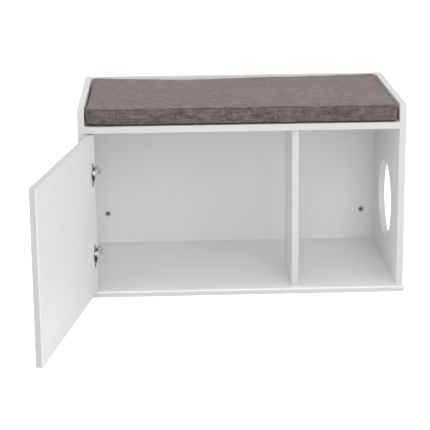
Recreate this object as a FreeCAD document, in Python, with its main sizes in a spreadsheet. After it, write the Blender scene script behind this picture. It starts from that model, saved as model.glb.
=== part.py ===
"""Cat litter box cabinet with a seat cushion on top, modelled as its real pieces.

The frame: X runs to the right along the front, Y runs from the front to the back and Z is up.
The origin lies on the floor, under the middle of the base.  Depths are given from the front
plane, and FRONT moves each finished piece back by half the depth.  All sizes are millimetres.
The door and its links are drawn shut and then swung to their open rest pose.
"""
import FreeCAD
import Part
import Sketcher
import math
import os

Vector = FreeCAD.Vector
UP = Vector(0, 0, 1)
BACKWARD = Vector(0, 1, 0)
EAST = Vector(1, 0, 0)

# ---------------------------------------------------------------- driving sizes
SIZES = {
    # carcass
    "cabinet_width": 800.0,
    "cabinet_depth": 430.0,
    "cabinet_height": 480.0,
    "board": 16.0,
    "base_thick": 16.0,
    "base_overhang": 3.0,
    "base_nose": 6.0,
    "edge_round": 1.0,
    "seat_recess": 45.0,
    # compartments and the way in
    "entrance_width": 245.0,
    "divider_depth": 204.0,
    "hole_dia": 205.0,
    "hole_from_front": 215.0,
    "hole_above_floor": 170.0,
    # door
    "door_thick": 16.0,
    "door_gap_hinge": 2.5,
    "door_gap_end": 2.5,
    "door_lap": 15.0,
    "door_rest_gap": 1.0,
    "door_edge_round": 3.0,
    "door_open_deg": 101.0,
    # cam locks, bolts, dowels and screws
    "cam_dia": 15.0,
    "cam_depth": 12.5,
    "cam_reach": 34.0,
    "cam_above_floor": 83.0,
    "cam_slot_long": 8.0,
    "cam_slot_wide": 2.2,
    "cam_slot_deep": 3.0,
    "bolt_shank": 4.0,
    "bolt_tip": 6.0,
    "bolt_tip_long": 4.0,
    "bolt_collar": 7.0,
    "bolt_collar_thick": 3.0,
    "bolt_thread": 5.0,
    "bolt_bite": 11.0,
    "dowel_dia": 8.0,
    "dowel_long": 30.0,
    "dowel_bite": 12.0,
    "screw_long": 50.0,
    "screw_head": 10.0,
    "screw_head_thick": 3.0,
    "screw_neck": 7.0,
    "screw_core": 5.0,
    "screw_socket": 4.6,
    "screw_socket_deep": 2.6,
    "fit_gap": 0.1,
    "blind_gap": 1.0,
    "from_front": 60.0,
    "from_rear": 80.0,
    "divider_screw_inset": 40.0,
    "back_screw_from_end": 128.0,
    # hinges
    "hinge_from_end": 96.0,
    "cup_inset": 4.0,
    "cup_dia": 35.0,
    "cup_depth": 12.0,
    "cup_wall": 0.9,
    "cup_floor": 1.0,
    "cup_brim": 1.2,
    "cup_ear_round": 2.2,
    "mouth_deep": 3.8,
    "mouth_to_centre": 8.0,
    "flange_thick": 1.4,
    "flange_ear": 22.8,
    "flange_ear_round": 6.4,
    "flange_middle_round": 13.5,
    "flange_shift": 5.5,
    "pole_across": 10.2,
    "pole_deep": 4.2,
    "short_pin_across": 12.2,
    "short_pin_deep": 8.6,
    "long_pin_across": 11.0,
    "long_pin_deep": 13.1,
    "link_share": 0.32,
    "link_wide": 1.8,
    "short_link_bow": 2.4,
    "short_link_tall": 7.2,
    "long_link_bow": 4.2,
    "cheek_thick": 1.2,
    "stub_proud": 0.5,
    "eye_wall": 0.8,
    "eye_room": 0.7,
    "hinge_pin_dia": 2.0,
    "pin_play": 0.05,
    "layer_gap": 0.4,
    "arm_ear_thick": 1.1,
    "arm_wall": 1.5,
    "arm_front_wall": 2.5,
    "arm_tall": 17.0,
    "arm_top": 14.0,
    "arm_before_screw": 7.0,
    "arm_past_screw": 9.0,
    "nose_round": 2.0,
    "elbow_across": 28.0,
    "elbow_deep": 34.0,
    "elbow_round": 3.6,
    "heel_across": 9.5,
    "heel_before_screw": 4.0,
    "heel_round": 4.5,
    "plate_thick": 3.0,
    "plate_margin": 10.0,
    "plate_brim": 1.0,
    "plate_corner": 3.0,
    "plate_from_front": 53.0,
    "plate_screw_pitch": 32.0,
    "plate_screw_core": 5.0,
    "plate_screw_head": 8.0,
    "plate_screw_long": 12.5,
    "cup_screw_core": 3.0,
    "cup_screw_head": 6.0,
    "cup_screw_long": 10.5,
    "screw_sink": 1.5,
    "driver_slot": 0.8,
    "adjuster_core": 4.0,
    "adjuster_head": 6.4,
    "adjuster_head_thick": 1.2,
    "adjuster_from_screw": 10.0,
    # cushion
    "cushion_gap": 4.0,
    "cushion_set_back": 2.0,
    "cushion_seat_gap": 0.2,
    "cushion_seam": 42.0,
    "cushion_seam_draw": 1.0,
    "cushion_crown": 7.0,
    "cushion_waist": 3.0,
    "cover_thick": 1.2,
    "foam_gap": 0.05,
}

doc = FreeCAD.newDocument("litter_cabinet")
sheet = doc.addObject("Spreadsheet::Sheet", "Sizes")
for row, (alias, value) in enumerate(SIZES.items(), start=1):
    sheet.set("A%d" % row, alias)
    sheet.set("B%d" % row, str(value))
    sheet.setAlias("B%d" % row, alias)
doc.recompute()


def size(alias):
    """Value of one driving size, read back from the sheet."""
    return float(getattr(sheet, alias))


def cell(text):
    """Turns 'a + b' written with sheet names into an expression on the sheet."""
    out = text
    for alias in sorted(SIZES, key=len, reverse=True):
        out = out.replace("{" + alias + "}", "Sizes." + alias)
    return out


# sizes that follow from the driving ones, as expressions on the sheet
INNER_WIDTH = "({cabinet_width} - 2 * {board})"
BACK_FRONT = "({cabinet_depth} - {board})"
SEAT_TOP = "({cabinet_height} - {seat_recess})"
SEAT_UNDER = "({cabinet_height} - {seat_recess} - {board})"
INNER_HEIGHT = "({cabinet_height} - {seat_recess} - {board} - {base_thick})"
SIDE_HEIGHT = "({cabinet_height} - {base_thick})"
LITTER_WIDTH = "({cabinet_width} - 3 * {board} - {entrance_width})"
DIVIDER_SETBACK = "({door_thick} + {door_rest_gap})"
DOOR_WIDTH = "(" + LITTER_WIDTH + " - {door_gap_hinge} + {door_lap})"
DOOR_HEIGHT = "(" + INNER_HEIGHT + " - 2 * {door_gap_end})"
FRONT = " - {cabinet_depth} / 2"
NODES = []


def value(text):
    """Number that an expression in sheet names stands for."""
    out = text
    for alias in sorted(SIZES, key=len, reverse=True):
        out = out.replace("{" + alias + "}", repr(size(alias)))
    return FreeCAD.Units.Quantity(out).Value


# ---------------------------------------------------------------- drawing helpers
def origin_plane(body, role):
    for feature in body.Origin.OriginFeatures:
        if feature.Role == role:
            return feature
    raise ValueError("no plane " + role)


def new_body(name, corner):
    """A body whose low corner is placed by three expressions."""
    body = doc.addObject("PartDesign::Body", name)
    body.Label = name
    for axis, text in zip("xyz", (corner[0], corner[1] + FRONT, corner[2])):
        body.setExpression("Placement.Base." + axis, cell(text))
    NODES.append(body)
    return body


def new_sketch(body, role, offset="0"):
    sketch = body.newObject("Sketcher::SketchObject", body.Name + "_sketch")
    sketch.AttachmentSupport = (origin_plane(body, role), [""])
    sketch.MapMode = "FlatFace"
    sketch.setExpression("AttachmentOffset.Base.z", cell(offset))
    return sketch


def bound(sketch, constraint, text):
    """Adds a dimension to a sketch and ties it to the sheet."""
    index = sketch.addConstraint(constraint)
    sketch.setExpression("Constraints[%d]" % index, cell(text))


def draw_rectangle(sketch, width, height):
    """Rectangle from the sketch's origin, its two sides tied to the sheet."""
    wide, high = value(width), value(height)
    corners = [Vector(0, 0, 0), Vector(wide, 0, 0), Vector(wide, high, 0), Vector(0, high, 0)]
    for i in range(4):
        sketch.addGeometry(Part.LineSegment(corners[i], corners[(i + 1) % 4]))
    for i in range(4):
        sketch.addConstraint(Sketcher.Constraint("Coincident", i, 2, (i + 1) % 4, 1))
    sketch.addConstraint(Sketcher.Constraint("Horizontal", 0))
    sketch.addConstraint(Sketcher.Constraint("Horizontal", 2))
    sketch.addConstraint(Sketcher.Constraint("Vertical", 1))
    sketch.addConstraint(Sketcher.Constraint("Vertical", 3))
    sketch.addConstraint(Sketcher.Constraint("Coincident", 0, 1, -1, 1))
    bound(sketch, Sketcher.Constraint("DistanceX", 0, 1, 0, 2, wide), width)
    bound(sketch, Sketcher.Constraint("DistanceY", 1, 1, 1, 2, high), height)


def draw_circles(sketch, spots, diameter):
    """Circles whose centres and diameter are tied to the sheet."""
    radius = value(diameter) / 2
    for across, along in spots:
        centre = Vector(value(across), value(along), 0)
        circle = sketch.addGeometry(Part.Circle(centre, Vector(0, 0, 1), radius))
        bound(sketch, Sketcher.Constraint("Diameter", circle, 2 * radius), diameter)
        bound(sketch, Sketcher.Constraint("DistanceX", -1, 1, circle, 3, centre.x), across)
        bound(sketch, Sketcher.Constraint("DistanceY", -1, 1, circle, 3, centre.y), along)


def board(name, corner, width, depth, height):
    """A plain board: a rectangle on the ground plane padded to its height."""
    body = new_body(name, corner)
    sketch = new_sketch(body, "XY_Plane")
    draw_rectangle(sketch, width, depth)
    pad = body.newObject("PartDesign::Pad", name + "_pad")
    pad.Profile = sketch
    pad.setExpression("Length", cell(height))
    sketch.Visibility = False
    doc.recompute()
    return body


# for each face of a board: the plane to draw on, the sign of its offset and whether the cut is reversed
FACES = {
    "under": ("XY_Plane", "", True),
    "left": ("YZ_Plane", "", True),
    "front": ("XZ_Plane", "", False),
    "top": ("XY_Plane", "", False),
    "right": ("YZ_Plane", "", False),
    "rear": ("XZ_Plane", "-", True),
}


def drill(body, face, spots, diameter, deep, reach="0"):
    """Round holes into one face of a board; reach gives a far face's distance from the low corner."""
    role, sign, backwards = FACES[face]
    before = body.Shape.Volume
    sketch = new_sketch(body, role, sign + "(" + reach + ")")
    draw_circles(sketch, spots, diameter)
    pocket = body.newObject("PartDesign::Pocket", body.Name + "_drilling")
    pocket.Profile = sketch
    pocket.Reversed = backwards
    pocket.setExpression("Length", cell(deep))
    doc.recompute()
    if body.Shape.Volume > before - len(spots):
        raise ValueError("drilling missed %s on its %s" % (body.Name, face))


def round_edges(body, wanted, radius):
    """Fillets the edges of a body that the test wanted(edge) picks."""
    names = ["Edge%d" % (i + 1) for i, edge in enumerate(body.Shape.Edges) if wanted(edge)]
    last = body.Tip
    fillet = body.newObject("PartDesign::Fillet", body.Name + "_rounding")
    fillet.Base = (last, names)
    fillet.setExpression("Radius", cell(radius))
    body.Tip = fillet
    doc.recompute()


def straight(edge, axis):
    """True where an edge is a straight line along one axis, 'x', 'y' or 'z'."""
    if edge.Curve.TypeId != "Part::GeomLine":
        return False
    run = edge.Vertexes[-1].Point - edge.Vertexes[0].Point
    return abs(getattr(run, axis)) > 0.999 * run.Length


def near(number, target):
    return abs(number - target) < 0.01


def solid_node(name, shapes, placement=None):
    """A node whose shape is worked out by Part's own functions from sizes on the sheet."""
    node = doc.addObject("Part::Feature", name)
    node.Label = name
    node.Shape = shapes if isinstance(shapes, Part.Shape) else Part.makeCompound(shapes)
    place = FreeCAD.Placement() if placement is None else placement.copy()
    place.move(Vector(0, value(FRONT), 0))
    node.Placement = place
    NODES.append(node)
    return node


# ---------------------------------------------------------------- where the fasteners go
FRONT_ROW = "{from_front}"
REAR_ROW = "({cabinet_depth} - {from_rear})"
CAM_LOW = "({base_thick} + {cam_above_floor})"
CAM_HIGH = "(" + SEAT_UNDER + " - {cam_above_floor})"
CAM_LEVELS = (CAM_LOW, CAM_HIGH)
SIDE_ROWS = (FRONT_ROW, REAR_ROW)
BACK_MIDDLE = "({cabinet_depth} - {board} / 2)"
SEAT_MIDDLE = "(" + SEAT_TOP + " - {board} / 2)"
DIVIDER_LEFT = "({cabinet_width} / 2 - {board} - {entrance_width} - {board})"
SIDE_MIDDLE = "({cabinet_width} / 2 - {board} / 2)"
DIVIDER_MIDDLE = "(" + DIVIDER_LEFT + " + {board} / 2)"
DIVIDER_ROWS = (
    "(" + DIVIDER_SETBACK + " + {divider_screw_inset})",
    "(" + DIVIDER_SETBACK + " + {divider_depth} - {divider_screw_inset})",
)
DIVIDER_CENTRE = "(" + DIVIDER_SETBACK + " + {divider_depth} / 2)"
SIDE_CENTRE = "({cabinet_depth} / 2)"
BACK_OUT = "({cabinet_width} / 2 - {board} - {back_screw_from_end})"
HOLE_FIT = " + 2 * {fit_gap}"
DOWEL_SHORT_HOLE = "({dowel_bite} + {blind_gap})"
DOWEL_LONG_HOLE = "({dowel_long} - {dowel_bite} + {blind_gap})"
SCREW_SINK = "({screw_head_thick} + 2 * {fit_gap})"


def base_screw_spots():
    """Where screws rise through the base: under both sides, the divider and the back."""
    spots = [("-" + SIDE_MIDDLE, row) for row in SIDE_ROWS]
    spots += [(SIDE_MIDDLE, row) for row in SIDE_ROWS]
    spots += [(DIVIDER_MIDDLE, row) for row in DIVIDER_ROWS]
    spots += [("-" + BACK_OUT, BACK_MIDDLE), ("0", BACK_MIDDLE), (BACK_OUT, BACK_MIDDLE)]
    return spots


def base_dowel_spots():
    """Where dowels locate the upright boards on the base."""
    return [
        ("-" + SIDE_MIDDLE, SIDE_CENTRE),
        (SIDE_MIDDLE, SIDE_CENTRE),
        (DIVIDER_MIDDLE, DIVIDER_CENTRE),
        ("-" + BACK_OUT + " / 2", BACK_MIDDLE),
        (BACK_OUT + " / 2", BACK_MIDDLE),
    ]


def shifted(spots, dx="0", dy="0"):
    """The same spots seen from a board's own low corner."""
    return [("(" + a + ") - (" + dx + ")", "(" + b + ") - (" + dy + ")") for a, b in spots]


# ---------------------------------------------------------------- the boards
def under_centre(width):
    return "(-(" + width + ") / 2)"


base_width = "({cabinet_width} + 2 * {base_overhang})"
bottom_panel = board(
    "bottom_panel",
    (under_centre(base_width), "-{base_overhang}", "0"),
    base_width,
    "({cabinet_depth} + {base_overhang})",
    "{base_thick}",
)
rear_y = size("cabinet_depth") / 2
round_edges(
    bottom_panel,
    lambda edge: not straight(edge, "z") and not near(edge.CenterOfMass.y, rear_y),
    "{base_nose}",
)
base_spots = shifted(base_screw_spots(), under_centre(base_width), "-{base_overhang}")
drill(bottom_panel, "under", base_spots, "{screw_neck}" + HOLE_FIT, "{base_thick}")
drill(bottom_panel, "under", base_spots, "{screw_head}" + HOLE_FIT, SCREW_SINK)
dowel_spots = shifted(base_dowel_spots(), under_centre(base_width), "-{base_overhang}")
drill(bottom_panel, "top", dowel_spots, "{dowel_dia}" + HOLE_FIT, DOWEL_SHORT_HOLE, "{base_thick}")


def upright(name, corner, width, depth, height):
    """An upright board with the base's screw and dowel holes in its lower edge."""
    body = board(name, corner, width, depth, height)
    low = [value(corner[0]), value(corner[1])]
    high = [low[0] + value(width), low[1] + value(depth)]

    def over(spots):
        found = []
        for across, along in spots:
            spot = (value(across), value(along))
            if low[0] < spot[0] < high[0] and low[1] < spot[1] < high[1]:
                found.append((across, along))
        return shifted(found, corner[0], corner[1])

    screw_bite = "({screw_long} - {base_thick} + {blind_gap})"
    drill(body, "under", over(base_screw_spots()), "{screw_core}" + HOLE_FIT, screw_bite)
    drill(body, "under", over(base_dowel_spots()), "{dowel_dia}" + HOLE_FIT, DOWEL_LONG_HOLE)
    return body


left_side = upright("left_side_panel", ("-{cabinet_width} / 2", "0", "{base_thick}"),
                    "{board}", "{cabinet_depth}", SIDE_HEIGHT)
right_side = upright("right_side_panel", ("{cabinet_width} / 2 - {board}", "0", "{base_thick}"),
                     "{board}", "{cabinet_depth}", SIDE_HEIGHT)
back_panel = upright("back_panel", ("-{cabinet_width} / 2 + {board}", BACK_FRONT, "{base_thick}"),
                     INNER_WIDTH, "{board}", SIDE_HEIGHT)
divider = upright("divider_panel", (DIVIDER_LEFT, DIVIDER_SETBACK, "{base_thick}"),
                  "{board}", "{divider_depth}", INNER_HEIGHT)
seat_panel = board("seat_panel", ("-{cabinet_width} / 2 + {board}", "0", SEAT_UNDER),
                   INNER_WIDTH, BACK_FRONT, "{board}")

# the way in for the cat
hole_spot = [("{hole_from_front}", "{hole_above_floor}")]
drill(right_side, "left", hole_spot, "{hole_dia}", "{board}")

# fixings that run sideways out of the two side panels, seen from a side panel's low corner
side_bolts = [(BACK_MIDDLE, level + " - {base_thick}") for level in CAM_LEVELS]
side_bolts += [(row, SEAT_MIDDLE + " - {base_thick}") for row in SIDE_ROWS]
side_dowels = [(BACK_MIDDLE, "(" + SIDE_HEIGHT + " / 2)"), (SIDE_CENTRE, SEAT_MIDDLE + " - {base_thick}")]
for side, face, reach in ((left_side, "right", "{board}"), (right_side, "left", "0")):
    drill(side, face, side_bolts, "{bolt_thread}" + HOLE_FIT, "({bolt_bite} + {blind_gap} / 2)", reach)
    drill(side, face, side_dowels, "{dowel_dia}" + HOLE_FIT, DOWEL_SHORT_HOLE, reach)

# the same fixings in the ends of the back panel and of the seat panel
back_bolts = [("{board} / 2", level + " - {base_thick}") for level in CAM_LEVELS]
back_dowels = [("{board} / 2", "(" + SIDE_HEIGHT + " / 2)")]
seat_bolts = [(row, "{board} / 2") for row in SIDE_ROWS]
seat_dowels = [(SIDE_CENTRE, "{board} / 2")]
for panel, bolts, dowels in ((back_panel, back_bolts, back_dowels), (seat_panel, seat_bolts, seat_dowels)):
    for face, reach in (("left", "0"), ("right", INNER_WIDTH)):
        drill(panel, face, bolts, "{bolt_collar}" + HOLE_FIT, "{cam_reach}", reach)
        drill(panel, face, dowels, "{dowel_dia}" + HOLE_FIT, DOWEL_LONG_HOLE, reach)

# the round pockets for the cams, in the back panel's front and in the seat's underside
FAR_CAM = "(" + INNER_WIDTH + " - {cam_reach})"
CAM_COLUMNS = ("{cam_reach}", FAR_CAM)
back_cams = [(across, level + " - {base_thick}") for across in CAM_COLUMNS for level in CAM_LEVELS]
seat_cams = [(across, row) for across in CAM_COLUMNS for row in SIDE_ROWS]
drill(back_panel, "front", back_cams, "{cam_dia}" + HOLE_FIT, "{cam_depth} + {fit_gap}")
drill(seat_panel, "under", seat_cams, "{cam_dia}" + HOLE_FIT, "{cam_depth} + {fit_gap}")

# screws down through the seat into the divider, hidden under the cushion
seat_screw_spots = shifted([(DIVIDER_MIDDLE, row) for row in DIVIDER_ROWS], "-{cabinet_width} / 2 + {board}")
drill(seat_panel, "top", seat_screw_spots, "{screw_neck}" + HOLE_FIT, "{board}", "{board}")
drill(seat_panel, "top", seat_screw_spots, "{screw_head}" + HOLE_FIT, SCREW_SINK, "{board}")
divider_screws = shifted([(DIVIDER_MIDDLE, row) for row in DIVIDER_ROWS], DIVIDER_LEFT, DIVIDER_SETBACK)
seat_screw_bite = "({screw_long} - {board} + {blind_gap})"
drill(divider, "top", divider_screws, "{screw_core}" + HOLE_FIT, seat_screw_bite, INNER_HEIGHT)

# ---------------------------------------------------------------- the door and its hinge linkage
def turned(degrees, vector):
    """A flat vector turned clockwise, as seen from above."""
    angle = math.radians(degrees)
    return Vector(
        math.cos(angle) * vector.x + math.sin(angle) * vector.y,
        -math.sin(angle) * vector.x + math.cos(angle) * vector.y,
        0,
    )


def pivot_between(start, end, degrees):
    """Fixed pivot about which a clockwise turn carries one point onto another."""
    angle = math.radians(degrees)
    gap = end - turned(degrees, start)
    spare = 1 - math.cos(angle)
    scale = spare ** 2 + math.sin(angle) ** 2
    return Vector(
        (spare * gap.x + math.sin(angle) * gap.y) / scale,
        (-math.sin(angle) * gap.x + spare * gap.y) / scale,
        0,
    )


# flat places measured from the left panel's inner face and from the front plane, door shut
OPEN = size("door_open_deg")
LINK_TURN = -size("link_share") * OPEN
CORNER = Vector(value("-{cabinet_width} / 2 + {board}"), 0, 0)
POLE = Vector(size("pole_across"), size("pole_deep"), 0)
SHORT_PIN = Vector(size("short_pin_across"), size("short_pin_deep"), 0)
LONG_PIN = Vector(size("long_pin_across"), size("long_pin_deep"), 0)
SHORT_PIVOT = pivot_between(SHORT_PIN, POLE + turned(OPEN, SHORT_PIN - POLE), LINK_TURN)
LONG_PIVOT = pivot_between(LONG_PIN, POLE + turned(OPEN, LONG_PIN - POLE), LINK_TURN)


def swing(centre, degrees):
    """Placement that turns a shape clockwise about an upright line through a flat place."""
    return FreeCAD.Placement(CORNER + centre, FreeCAD.Rotation(UP, -degrees))


DOOR_SWING = swing(POLE, OPEN)
SHORT_SWING = swing(SHORT_PIVOT, LINK_TURN)
LONG_SWING = swing(LONG_PIVOT, LINK_TURN)
HINGE_LEVELS = {
    "lower": "({base_thick} + {door_gap_end} + {hinge_from_end})",
    "upper": "(" + SEAT_UNDER + " - {door_gap_end} - {hinge_from_end})",
}
CUP_ACROSS = "({door_gap_hinge} + {cup_inset} + {cup_dia} / 2)"
LOBE_ACROSS = "(" + CUP_ACROSS + " + {flange_shift})"

door = board("door_panel",
             ("-{cabinet_width} / 2 + {board} + {door_gap_hinge}", "0", "({base_thick} + {door_gap_end})"),
             DOOR_WIDTH, "{door_thick}", DOOR_HEIGHT)
round_edges(door, lambda edge: straight(edge, "z"), "{door_edge_round}")


def door_spots(across, lift="0"):
    """The same place on the door at both hinges, seen from the door's low corner."""
    low = "({hinge_from_end} + (" + lift + "))"
    high = "(" + DOOR_HEIGHT + " - {hinge_from_end} + (" + lift + "))"
    return [("(" + across + " - {door_gap_hinge})", low), ("(" + across + " - {door_gap_hinge})", high)]


cup_bite = "({cup_depth} + {fit_gap})"
drill(door, "rear", door_spots(CUP_ACROSS), "{cup_dia}" + HOLE_FIT, cup_bite, "{door_thick}")
lobe_spots = door_spots(LOBE_ACROSS, "{flange_ear}") + door_spots(LOBE_ACROSS, "-{flange_ear}")
cup_screw_bite = "({cup_screw_long} + {cup_screw_core} / 2 - {flange_thick} + {blind_gap} / 2)"
drill(door, "rear", lobe_spots, "{cup_screw_core}" + HOLE_FIT, cup_screw_bite, "{door_thick}")
door.setExpression("Placement.Rotation.Angle", cell("-{door_open_deg}"))
door.setExpression("Placement.Base.x", cell(
    "-{cabinet_width} / 2 + {board} + {pole_across}"
    " + cos({door_open_deg}) * ({door_gap_hinge} - {pole_across}) - sin({door_open_deg}) * {pole_deep}"))
door.setExpression("Placement.Base.y", cell(
    "{pole_deep} - sin({door_open_deg}) * ({door_gap_hinge} - {pole_across})"
    " - cos({door_open_deg}) * {pole_deep}" + FRONT))
doc.recompute()

# holes in the left panel for the hinge plates' screws
PLATE_ROWS = ("{plate_from_front}", "({plate_from_front} + {plate_screw_pitch})")
plate_spots = [(row, level + " - {base_thick}") for row in PLATE_ROWS for level in HINGE_LEVELS.values()]
plate_screw_bite = "({plate_screw_long} + {plate_screw_core} / 2 - {plate_thick} + {blind_gap} / 2)"
drill(left_side, "right", plate_spots, "{plate_screw_core}" + HOLE_FIT, plate_screw_bite, "{board}")


def front_edge(edge):
    """True for the upright front edges of a side panel and for the front edge of its top."""
    if straight(edge, "z"):
        return near(edge.CenterOfMass.y, -size("cabinet_depth") / 2)
    at_top = near(edge.CenterOfMass.z, size("cabinet_height"))
    return straight(edge, "x") and at_top and near(edge.CenterOfMass.y, -size("cabinet_depth") / 2)


for panel in (left_side, right_side):
    round_edges(panel, front_edge, "{edge_round}")


# ---------------------------------------------------------------- fasteners as groups of primitives
def cylinder(name, spot, direction, diameter, length):
    """A round bar from a spot along a direction, bound to the sheet."""
    item = doc.addObject("Part::Cylinder", name)
    item.setExpression("Radius", cell("(" + diameter + ") / 2"))
    item.setExpression("Height", cell(length))
    item.Placement = FreeCAD.Placement(Vector(), FreeCAD.Rotation(UP, direction))
    for letter, text in zip("xyz", spot):
        item.setExpression("Placement.Base." + letter, cell(text))
    return item


def along(spot, direction, run):
    """Expressions of the spot that lies a run further along a direction."""
    moved = []
    for text, part in zip(spot, (direction.x, direction.y, direction.z)):
        moved.append("(%s + %d * (%s))" % (text, round(part), run))
    return tuple(moved)


def group(name, items):
    """One node that holds several separate like pieces."""
    node = doc.addObject("Part::Compound", name)
    node.Label = name
    node.Links = items
    node.setExpression("Placement.Base.y", cell(FRONT))
    NODES.append(node)
    return node


def joined(name, items):
    fusion = doc.addObject("Part::MultiFuse", name)
    fusion.Shapes = items
    return fusion


def without(name, base, tools):
    """One piece with others taken away from it."""
    if len(tools) > 1:
        tools = [joined(name + "_tools", tools)]
    cut = doc.addObject("Part::Cut", name)
    cut.Base = base
    cut.Tool = tools[0]
    return cut


def dowels(name, spots, direction):
    """Wooden dowels; each spot is on the joint between the two boards."""
    items = []
    for i, spot in enumerate(spots):
        start = along(spot, direction, "-{dowel_bite}")
        items.append(cylinder("%s_%d" % (name, i), start, direction, "{dowel_dia}", "{dowel_long}"))
    return items


def panel_screws(name, spots, direction, through):
    """Flat-headed screws with a hexagon socket; each spot is on the outer face of the board they pass."""
    items = []
    for i, spot in enumerate(spots):
        mark = "%s_%d" % (name, i)
        head = cylinder(mark + "_head", spot, direction, "{screw_head}", "{screw_head_thick}")
        neck = cylinder(mark + "_neck", spot, direction, "{screw_neck}", "(" + through + " - 4 * {fit_gap})")
        core = cylinder(mark + "_core", spot, direction, "{screw_core}", "{screw_long}")
        socket = doc.addObject("Part::Prism", mark + "_socket")
        socket.Polygon = 6
        socket.setExpression("Circumradius", cell("{screw_socket} / 2"))
        socket.setExpression("Height", cell("{screw_socket_deep}"))
        socket.Placement = FreeCAD.Placement(Vector(), FreeCAD.Rotation(UP, direction))
        for letter, text in zip("xyz", spot):
            socket.setExpression("Placement.Base." + letter, cell(text))
        items.append(without(mark, joined(mark + "_blank", [head, neck, core]), [socket]))
    return group(name, items)


def cam_locks(name, spots, inward, towards):
    """Cam discs with a driver cross; each spot is on the board's face, inward goes into the board."""
    items = []
    for i, (spot, side) in enumerate(spots):
        mark = "%s_%d" % (name, i)
        disc = cylinder(mark + "_disc", spot, inward, "{cam_dia}", "{cam_depth}")
        middle = along(spot, inward, "{board} / 2")
        throat = cylinder(mark + "_throat", middle, towards * side, "({bolt_collar} + 1)", "{cam_dia}")
        tools = [throat]
        for angle in (45, 135):
            slot = doc.addObject("Part::Box", "%s_slot_%d" % (mark, angle))
            slot.setExpression("Length", cell("{cam_slot_long}"))
            slot.setExpression("Width", cell("{cam_slot_wide}"))
            slot.setExpression("Height", cell("{cam_slot_deep}"))
            turn = FreeCAD.Rotation(UP, inward).multiply(FreeCAD.Rotation(UP, angle))
            slot.Placement = FreeCAD.Placement(Vector(), turn)
            length_way, width_way = turn.multVec(EAST), turn.multVec(BACKWARD)
            for letter, text, run, aside in zip("xyz", spot, length_way, width_way):
                half_back = " - (%.9f) * {cam_slot_long} / 2 - (%.9f) * {cam_slot_wide} / 2" % (run, aside)
                slot.setExpression("Placement.Base." + letter, cell(text + half_back))
            tools.append(slot)
        items.append(without(mark, disc, tools))
    return group(name, items)


def cam_bolts(name, spots, towards):
    """Bolts screwed into the side panels, each with a head that the cam grips."""
    items = []
    for i, (spot, side) in enumerate(spots):
        mark = "%s_%d" % (name, i)
        out = towards * side
        root = along(spot, out, "{bolt_bite}")
        thread = cylinder(mark + "_thread", root, out * -1, "{bolt_thread}", "{bolt_bite}")
        neck = cylinder(mark + "_neck", spot, out * -1, "{bolt_shank}", "({cam_reach} - {blind_gap})")
        tip = along(spot, out * -1, "({cam_reach} - {blind_gap} - {bolt_tip_long})")
        head = cylinder(mark + "_tip", tip, out * -1, "{bolt_tip}", "{bolt_tip_long}")
        collar = cylinder(mark + "_collar", spot, out * -1, "{bolt_collar}", "{bolt_collar_thick}")
        items.append(joined(mark, [thread, neck, head, collar]))
    return group(name, items)


INNER_HALF = "({cabinet_width} / 2 - {board})"
CAM_HALF = "(" + INNER_HALF + " - {cam_reach})"


def both_sides(half, rest):
    """Mirror pairs of spots: the spot itself and the side it lies on."""
    return [((("%d * " % side) + half,) + row, side) for side in (-1, 1) for row in rest]


panel_screws("base_screws", [spot + ("0",) for spot in base_screw_spots()], UP, "{base_thick}")
seat_screw_tops = [(DIVIDER_MIDDLE, row, SEAT_TOP) for row in DIVIDER_ROWS]
panel_screws("seat_screws", seat_screw_tops, UP * -1, "{board}")
group("base_dowels", dowels("base_dowels", [spot + ("{base_thick}",) for spot in base_dowel_spots()], UP))
back_mid = [(BACK_MIDDLE, "({base_thick} + " + SIDE_HEIGHT + " / 2)")]
seat_mid = [(SIDE_CENTRE, SEAT_MIDDLE)]
for name, rest in (("back_dowels", back_mid), ("seat_dowels", seat_mid)):
    pegs = []
    for side in (-1, 1):
        spots = [("%d * %s" % (side, INNER_HALF),) + row for row in rest]
        pegs += dowels("%s_%s" % (name, "lr"[side > 0]), spots, EAST * -side)
    group(name, pegs)
back_faces = [(BACK_FRONT, level) for level in CAM_LEVELS]
seat_faces = [(row, SEAT_UNDER) for row in SIDE_ROWS]
cam_locks("back_cam_locks", both_sides(CAM_HALF, back_faces), BACKWARD, EAST)
cam_locks("seat_cam_locks", both_sides(CAM_HALF, seat_faces), UP, EAST)
cam_bolts("back_cam_bolts", both_sides(INNER_HALF, [(BACK_MIDDLE, level) for level in CAM_LEVELS]), EAST)
cam_bolts("seat_cam_bolts", both_sides(INNER_HALF, [(row, SEAT_MIDDLE) for row in SIDE_ROWS]), EAST)
doc.recompute()


# ---------------------------------------------------------------- concealed hinges
# One hinge is drawn round its own mid-height: X and Y as above, Z from the hinge's middle.
CUP = Vector(value(CUP_ACROSS), 0, 0)
LOBES = [Vector(value(LOBE_ACROSS), 0, side * size("flange_ear")) for side in (1, -1)]
FACE = size("door_thick")
FLANGE = FACE + size("flange_thick")
PLAY = size("pin_play")
PIN = size("hinge_pin_dia") / 2
GAP = size("fit_gap")
EYE = PIN + size("eye_wall")
LINK_HALF = size("link_wide") / 2
# half heights of the layers, from the middle out: inner link, ears, outer link's cheeks, arm
SHORT_HALF = size("short_link_tall") / 2
EAR_NEAR = SHORT_HALF + size("layer_gap")
EAR_FAR = EAR_NEAR + size("arm_ear_thick")
SHELL_NEAR = EAR_FAR + size("layer_gap")
SHELL_FAR = SHELL_NEAR + size("cheek_thick")
ARM_HALF = size("arm_tall") / 2
ARM_TOP = size("arm_top")
PLATE_FACE = size("plate_thick")
PLATE_SCREW = size("plate_from_front")
NEXT_PLATE_SCREW = PLATE_SCREW + size("plate_screw_pitch")
ADJUSTERS = (PLATE_SCREW + size("adjuster_from_screw"), NEXT_PLATE_SCREW - size("adjuster_from_screw"))


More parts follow.
